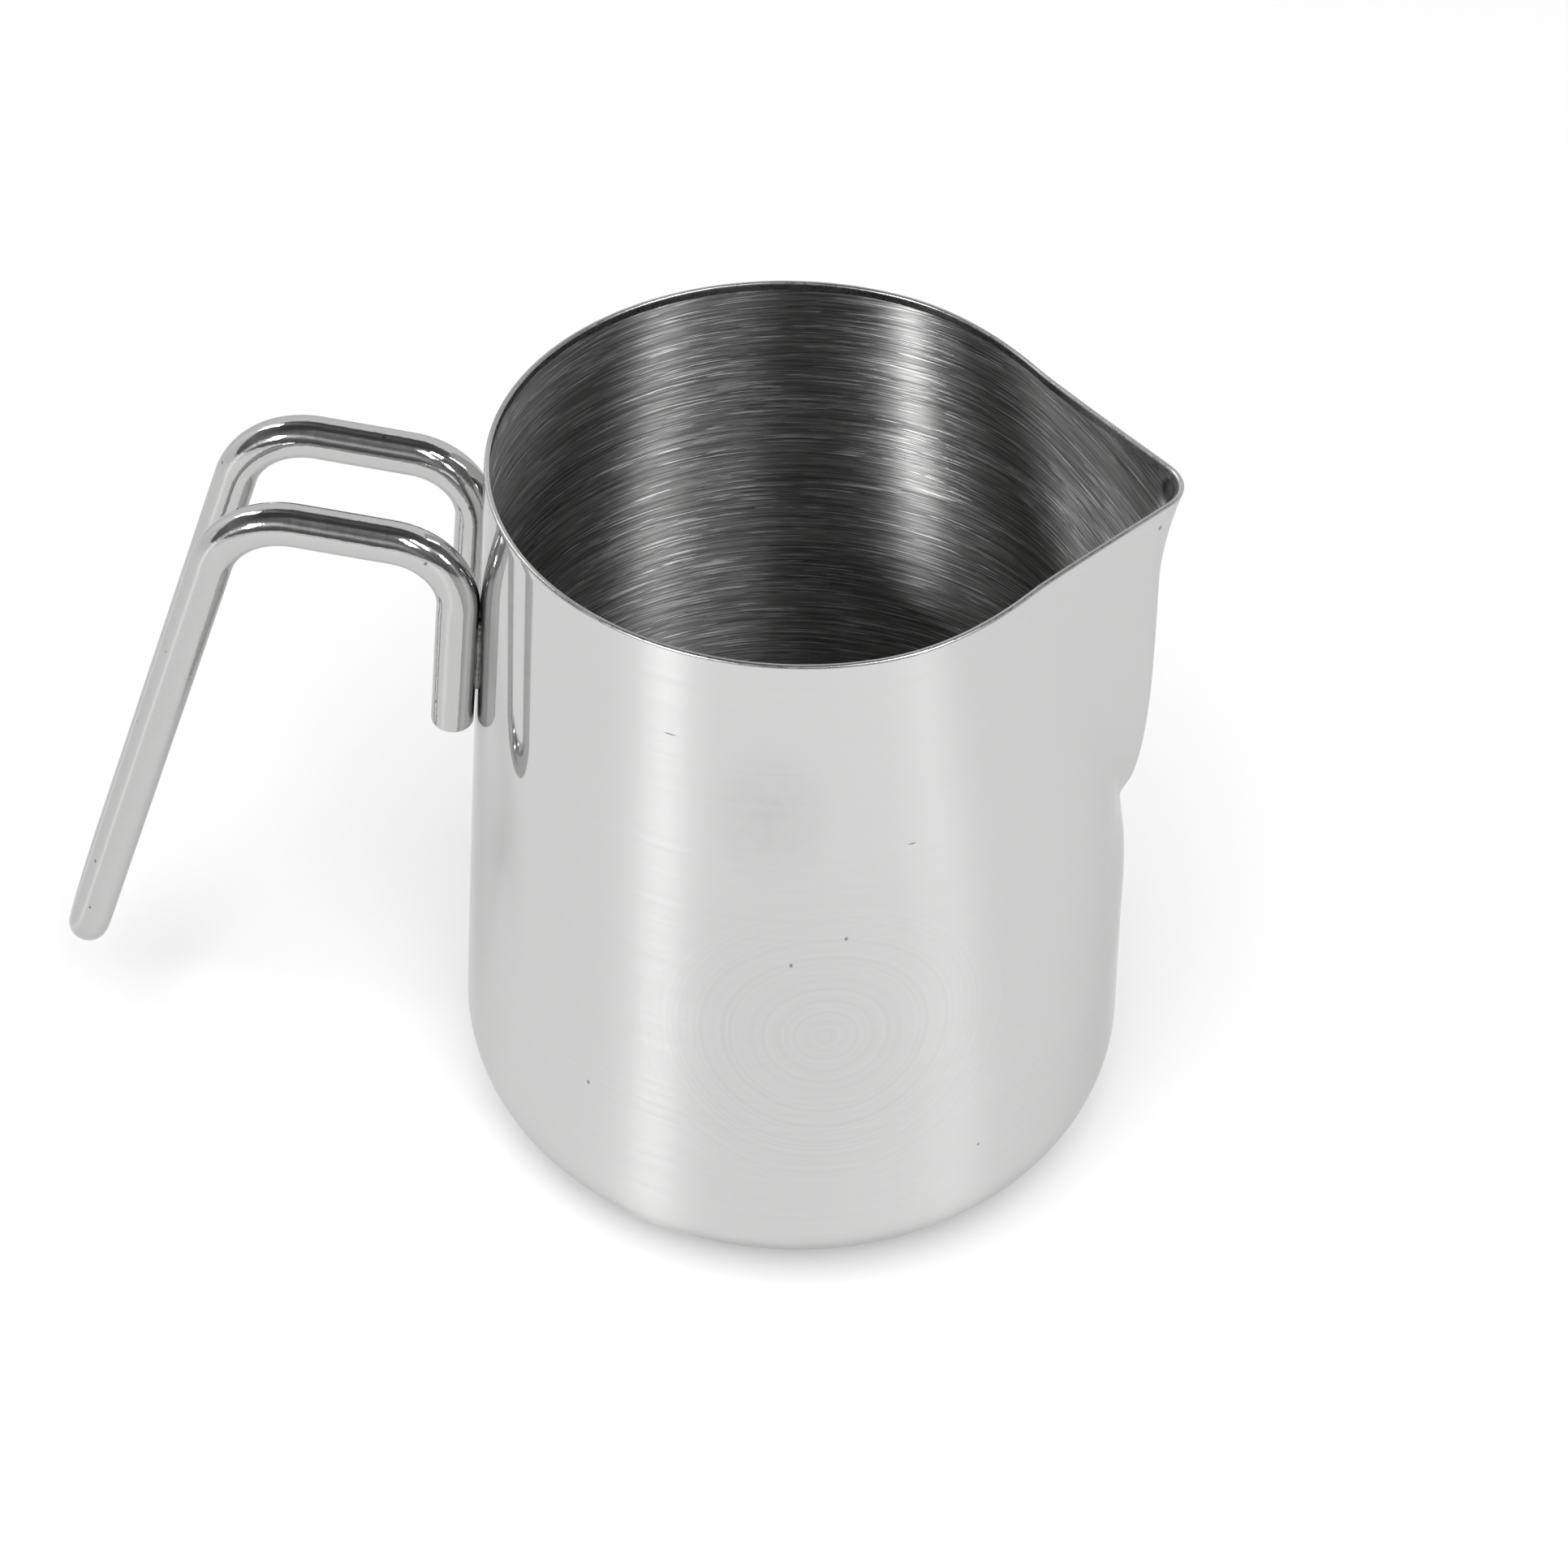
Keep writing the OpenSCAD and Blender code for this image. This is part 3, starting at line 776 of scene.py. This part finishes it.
def make_floor():
    """A plain pale disc, matt and glowing a little."""
    mesh = bpy.data.meshes.new("floor")
    turns = np.linspace(0, 2 * math.pi, FLOOR_POINTS, endpoint=False)
    edge = [(FLOOR_R * math.cos(a), FLOOR_R * math.sin(a), 0) for a in turns]
    mesh.from_pydata(edge, [], [tuple(range(FLOOR_POINTS))])
    obj = bpy.data.objects.new("floor", mesh)
    bpy.context.scene.collection.objects.link(obj)
    n = Material("pale_floor")
    n.put(n.bsdf, "Base Color", FLOOR_GREY)
    n.put(n.bsdf, "Roughness", 0.9)
    n.put(n.bsdf, "Specular IOR Level", 0.0)
    n.put(n.bsdf, "Emission Color", (1, 1, 1, 1))
    n.put(n.bsdf, "Emission Strength", FLOOR_GLOW)
    obj.data.materials.append(n.mat)


def make_world():
    """The dark room and the pale sweep, as the steel sees them."""
    world = bpy.data.worlds.new("studio")
    bpy.context.scene.world = world
    world.use_nodes = True
    n = Nodes(world.node_tree)
    way = n.new("ShaderNodeSeparateXYZ", Vector=n.new("ShaderNodeTexCoord").outputs["Generated"]).outputs
    room = n.new("ShaderNodeValToRGB")
    n.link(way["Z"], room.inputs[0])
    stops = room.color_ramp.elements
    for stop, (place, grey) in zip(stops, (ROOM_LOW, ROOM_HIGH)):
        stop.position, stop.color = place, (grey, grey, grey, 1)
    for place, grey in ROOM:
        stops.new(place).color = (grey, grey, grey, 1)
    sweep = n.remap(n.math("MULTIPLY_ADD", way["Y"], SWEEP_LEAN, way["Z"]), *SWEEP_EDGE, 1.0, 0.0)
    glow = n.new("ShaderNodeBackground", Color=n.mix(sweep, room.outputs[0], SWEEP_GREY), Strength=1.0)
    n.new("ShaderNodeOutputWorld", Surface=glow.outputs[0])


def soft_light(name, azimuth, elevation, distance, size, power):
    """A soft box aimed at the pitcher. Azimuth 0 is in front, on the camera's side, and 90 is towards the spout."""
    data = bpy.data.lights.new(name, "AREA")
    data.shape = "RECTANGLE"
    data.size, data.size_y = size
    data.energy = power
    obj = bpy.data.objects.new(name, data)
    a, e = math.radians(azimuth), math.radians(elevation)
    aim = Vector((0, 0, LIGHT_AIM_Z))
    way = Vector((math.sin(a) * math.cos(e), -math.cos(a) * math.cos(e), math.sin(e)))
    obj.location = aim + way * distance
    obj.rotation_euler = (-way).to_track_quat("-Z", "Y").to_euler()
    bpy.context.scene.collection.objects.link(obj)
    return obj


make_floor()
make_world()
for name, azimuth, elevation, distance, size, power, on_floor, on_steel in LIGHTS:
    light = soft_light(name, azimuth, elevation, distance, size, power)
    light.visible_diffuse, light.visible_glossy = on_floor, on_steel

# The camera looks down at the pitcher from in front, a little rolled
VIEW_AZ, VIEW_EL, VIEW_ROLL = 2.266, 43.68, 2.094
VIEW_DISTANCE, VIEW_AIM = 505.1, (-2.244, -1.455, 55.757)
FOCAL = 79.549
az, el, roll = (math.radians(v) for v in (VIEW_AZ, VIEW_EL, VIEW_ROLL))
back = Vector((math.sin(az) * math.cos(el), -math.cos(az) * math.cos(el), math.sin(el)))
right = (-back).cross(Vector((0, 0, 1))).normalized()
up = right.cross(-back)
rolled_right = right * math.cos(roll) + up * math.sin(roll)
rolled_up = up * math.cos(roll) - right * math.sin(roll)
cam_data = bpy.data.cameras.new("camera")
cam_data.sensor_width, cam_data.lens = 36.0, FOCAL
cam_data.clip_start, cam_data.clip_end = 0.01, 20.0
cam = bpy.data.objects.new("camera", cam_data)
spin = Matrix((rolled_right, rolled_up, back)).transposed()
cam.matrix_world = Matrix.Translation((Vector(VIEW_AIM) + back * VIEW_DISTANCE) * MM) @ spin.to_4x4()
bpy.context.scene.collection.objects.link(cam)
bpy.context.scene.camera = cam

bpy.context.scene.view_settings.view_transform = "Standard"
bpy.context.scene.view_settings.look = "None"
